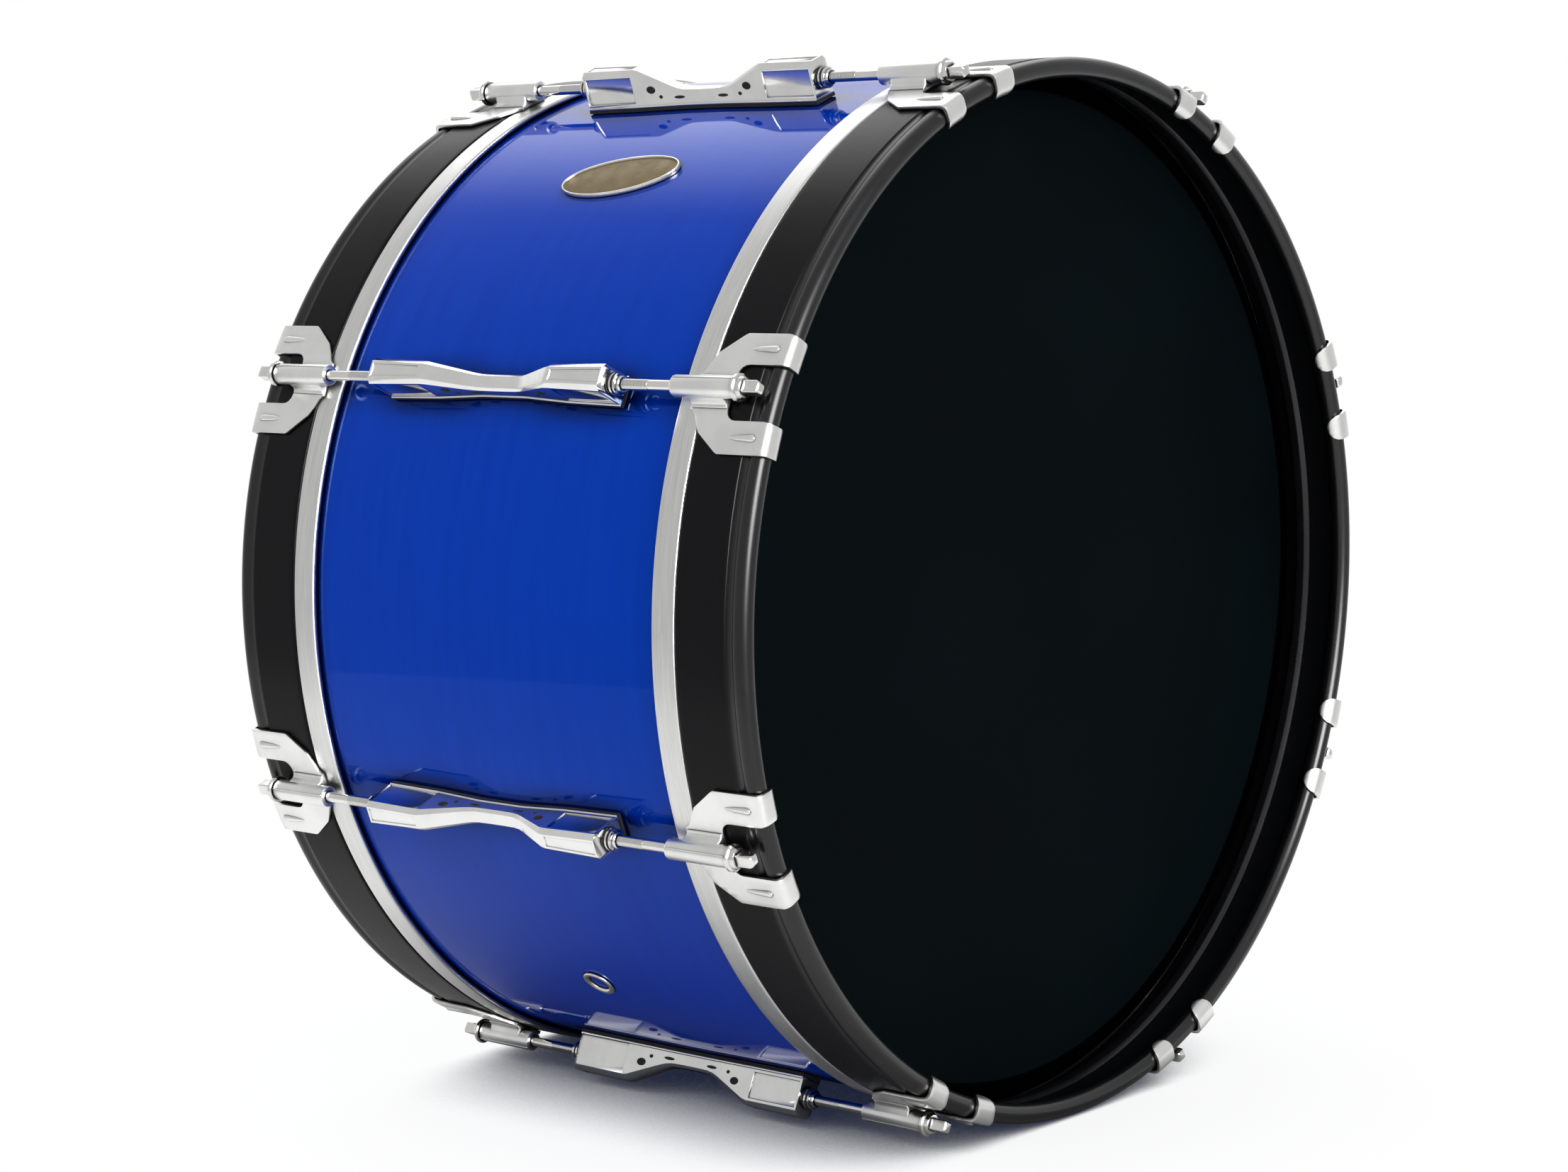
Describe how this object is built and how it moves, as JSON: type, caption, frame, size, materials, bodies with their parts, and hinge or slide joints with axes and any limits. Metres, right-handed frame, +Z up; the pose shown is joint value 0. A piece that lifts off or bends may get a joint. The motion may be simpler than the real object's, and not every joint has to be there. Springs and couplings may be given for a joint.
{
  "type": "marching bass drum",
  "caption": "Bass drum for marching: a glossy blue shell with a tensioned black head, silver flesh hoop and black counterhoop on each end, held by hooked claws, rods and bow-tie lugs.",
  "frame": {"origin": "on the floor, under the middle of the shell, midway between the two hoops", "axes": "+Z up, Y along the drum's own axis with the front head facing -Y, X across the drum"},
  "size_m": [0.619, 0.394, 0.619],
  "materials": {
    "shell_lacquer": "high-gloss royal blue lacquer",
    "head_film": "black film, softly matte with a glossier edge",
    "band_satin": "satin",
    "hoop_lacquer": "black satin lacquer",
    "claw_steel": "bright plated",
    "rod_steel": "bright plated",
    "lug_chrome": "polished",
    "gasket_rubber": "matte black",
    "badge_metal": "aged gold with a bright rim"
  },
  "bodies": {
    "drum": {"shell": "shell_lacquer", "front_head": "head_film", "front_flesh_hoop": "band_satin", "rear_head": "head_film", "rear_flesh_hoop": "band_satin", "lug_1": "lug_chrome", "lug_2": "lug_chrome", "lug_3": "lug_chrome", "lug_4": "lug_chrome", "lug_5": "lug_chrome", "lug_6": "lug_chrome", "lug_7": "lug_chrome", "lug_8": "lug_chrome", "lug_gasket_1": "gasket_rubber", "lug_gasket_2": "gasket_rubber", "lug_gasket_3": "gasket_rubber", "lug_gasket_4": "gasket_rubber", "lug_gasket_5": "gasket_rubber", "lug_gasket_6": "gasket_rubber", "lug_gasket_7": "gasket_rubber", "lug_gasket_8": "gasket_rubber", "badge": "badge_metal", "vent_grommet": "lug_chrome"},
    "front_hoop_set": {"front_hoop": "hoop_lacquer", "front_claw_1": "claw_steel", "front_claw_2": "claw_steel", "front_claw_3": "claw_steel", "front_claw_4": "claw_steel", "front_claw_5": "claw_steel", "front_claw_6": "claw_steel", "front_claw_7": "claw_steel", "front_claw_8": "claw_steel"},
    "rear_hoop_set": {"rear_hoop": "hoop_lacquer", "rear_claw_1": "claw_steel", "rear_claw_2": "claw_steel", "rear_claw_3": "claw_steel", "rear_claw_4": "claw_steel", "rear_claw_5": "claw_steel", "rear_claw_6": "claw_steel", "rear_claw_7": "claw_steel", "rear_claw_8": "claw_steel"},
    "front_rod_1_body": {"front_rod_1": "rod_steel"},
    "front_rod_2_body": {"front_rod_2": "rod_steel"},
    "front_rod_3_body": {"front_rod_3": "rod_steel"},
    "front_rod_4_body": {"front_rod_4": "rod_steel"},
    "front_rod_5_body": {"front_rod_5": "rod_steel"},
    "front_rod_6_body": {"front_rod_6": "rod_steel"},
    "front_rod_7_body": {"front_rod_7": "rod_steel"},
    "front_rod_8_body": {"front_rod_8": "rod_steel"},
    "rear_rod_1_body": {"rear_rod_1": "rod_steel"},
    "rear_rod_2_body": {"rear_rod_2": "rod_steel"},
    "rear_rod_3_body": {"rear_rod_3": "rod_steel"},
    "rear_rod_4_body": {"rear_rod_4": "rod_steel"},
    "rear_rod_5_body": {"rear_rod_5": "rod_steel"},
    "rear_rod_6_body": {"rear_rod_6": "rod_steel"},
    "rear_rod_7_body": {"rear_rod_7": "rod_steel"},
    "rear_rod_8_body": {"rear_rod_8": "rod_steel"}
  },
  "joints": [
    {"name": "front_hoop_slide", "type": "slide", "parent": "drum", "child": "front_hoop_set", "axis": [0, -1, 0], "range_m": [0, 0.012]},
    {"name": "rear_hoop_slide", "type": "slide", "parent": "drum", "child": "rear_hoop_set", "axis": [0, 1, 0], "range_m": [0, 0.012]},
    {"name": "front_rod_1_turn", "type": "hinge", "parent": "front_hoop_set", "child": "front_rod_1_body", "pos_m": [0.29656, -0.172, 0.42513], "axis": [0, -1, 0], "range_deg": [0, 4330]},
    {"name": "front_rod_2_turn", "type": "hinge", "parent": "front_hoop_set", "child": "front_rod_2_body", "pos_m": [0.12794, -0.172, 0.60097], "axis": [0, -1, 0], "range_deg": [0, 4330]},
    {"name": "front_rod_3_turn", "type": "hinge", "parent": "front_hoop_set", "child": "front_rod_3_body", "pos_m": [-0.11562, -0.172, 0.60607], "axis": [0, -1, 0], "range_deg": [0, 4330]},
    {"name": "front_rod_4_turn", "type": "hinge", "parent": "front_hoop_set", "child": "front_rod_4_body", "pos_m": [-0.29146, -0.172, 0.43745], "axis": [0, -1, 0], "range_deg": [0, 4330]},
    {"name": "front_rod_5_turn", "type": "hinge", "parent": "front_hoop_set", "child": "front_rod_5_body", "pos_m": [-0.29656, -0.172, 0.19389], "axis": [0, -1, 0], "range_deg": [0, 4330]},
    {"name": "front_rod_6_turn", "type": "hinge", "parent": "front_hoop_set", "child": "front_rod_6_body", "pos_m": [-0.12794, -0.172, 0.01806], "axis": [0, -1, 0], "range_deg": [0, 4330]},
    {"name": "front_rod_7_turn", "type": "hinge", "parent": "front_hoop_set", "child": "front_rod_7_body", "pos_m": [0.11562, -0.172, 0.01295], "axis": [0, -1, 0], "range_deg": [0, 4330]},
    {"name": "front_rod_8_turn", "type": "hinge", "parent": "front_hoop_set", "child": "front_rod_8_body", "pos_m": [0.29146, -0.172, 0.18157], "axis": [0, -1, 0], "range_deg": [0, 4330]},
    {"name": "rear_rod_1_turn", "type": "hinge", "parent": "rear_hoop_set", "child": "rear_rod_1_body", "pos_m": [0.29656, 0.172, 0.42513], "axis": [0, 1, 0], "range_deg": [0, 4330]},
    {"name": "rear_rod_2_turn", "type": "hinge", "parent": "rear_hoop_set", "child": "rear_rod_2_body", "pos_m": [0.12794, 0.172, 0.60097], "axis": [0, 1, 0], "range_deg": [0, 4330]},
    {"name": "rear_rod_3_turn", "type": "hinge", "parent": "rear_hoop_set", "child": "rear_rod_3_body", "pos_m": [-0.11562, 0.172, 0.60607], "axis": [0, 1, 0], "range_deg": [0, 4330]},
    {"name": "rear_rod_4_turn", "type": "hinge", "parent": "rear_hoop_set", "child": "rear_rod_4_body", "pos_m": [-0.29146, 0.172, 0.43745], "axis": [0, 1, 0], "range_deg": [0, 4330]},
    {"name": "rear_rod_5_turn", "type": "hinge", "parent": "rear_hoop_set", "child": "rear_rod_5_body", "pos_m": [-0.29656, 0.172, 0.19389], "axis": [0, 1, 0], "range_deg": [0, 4330]},
    {"name": "rear_rod_6_turn", "type": "hinge", "parent": "rear_hoop_set", "child": "rear_rod_6_body", "pos_m": [-0.12794, 0.172, 0.01806], "axis": [0, 1, 0], "range_deg": [0, 4330]},
    {"name": "rear_rod_7_turn", "type": "hinge", "parent": "rear_hoop_set", "child": "rear_rod_7_body", "pos_m": [0.11562, 0.172, 0.01295], "axis": [0, 1, 0], "range_deg": [0, 4330]},
    {"name": "rear_rod_8_turn", "type": "hinge", "parent": "rear_hoop_set", "child": "rear_rod_8_body", "pos_m": [0.29146, 0.172, 0.18157], "axis": [0, 1, 0], "range_deg": [0, 4330]}
  ],
  "couplings": [
    {"joint": "front_rod_1_turn", "follows": "front_hoop_slide", "rad_per_m": 6283.2},
    {"joint": "front_rod_2_turn", "follows": "front_hoop_slide", "rad_per_m": 6283.2},
    {"joint": "front_rod_3_turn", "follows": "front_hoop_slide", "rad_per_m": 6283.2},
    {"joint": "front_rod_4_turn", "follows": "front_hoop_slide", "rad_per_m": 6283.2},
    {"joint": "front_rod_5_turn", "follows": "front_hoop_slide", "rad_per_m": 6283.2},
    {"joint": "front_rod_6_turn", "follows": "front_hoop_slide", "rad_per_m": 6283.2},
    {"joint": "front_rod_7_turn", "follows": "front_hoop_slide", "rad_per_m": 6283.2},
    {"joint": "front_rod_8_turn", "follows": "front_hoop_slide", "rad_per_m": 6283.2},
    {"joint": "rear_rod_1_turn", "follows": "rear_hoop_slide", "rad_per_m": 6283.2},
    {"joint": "rear_rod_2_turn", "follows": "rear_hoop_slide", "rad_per_m": 6283.2},
    {"joint": "rear_rod_3_turn", "follows": "rear_hoop_slide", "rad_per_m": 6283.2},
    {"joint": "rear_rod_4_turn", "follows": "rear_hoop_slide", "rad_per_m": 6283.2},
    {"joint": "rear_rod_5_turn", "follows": "rear_hoop_slide", "rad_per_m": 6283.2},
    {"joint": "rear_rod_6_turn", "follows": "rear_hoop_slide", "rad_per_m": 6283.2},
    {"joint": "rear_rod_7_turn", "follows": "rear_hoop_slide", "rad_per_m": 6283.2},
    {"joint": "rear_rod_8_turn", "follows": "rear_hoop_slide", "rad_per_m": 6283.2}
  ]
}
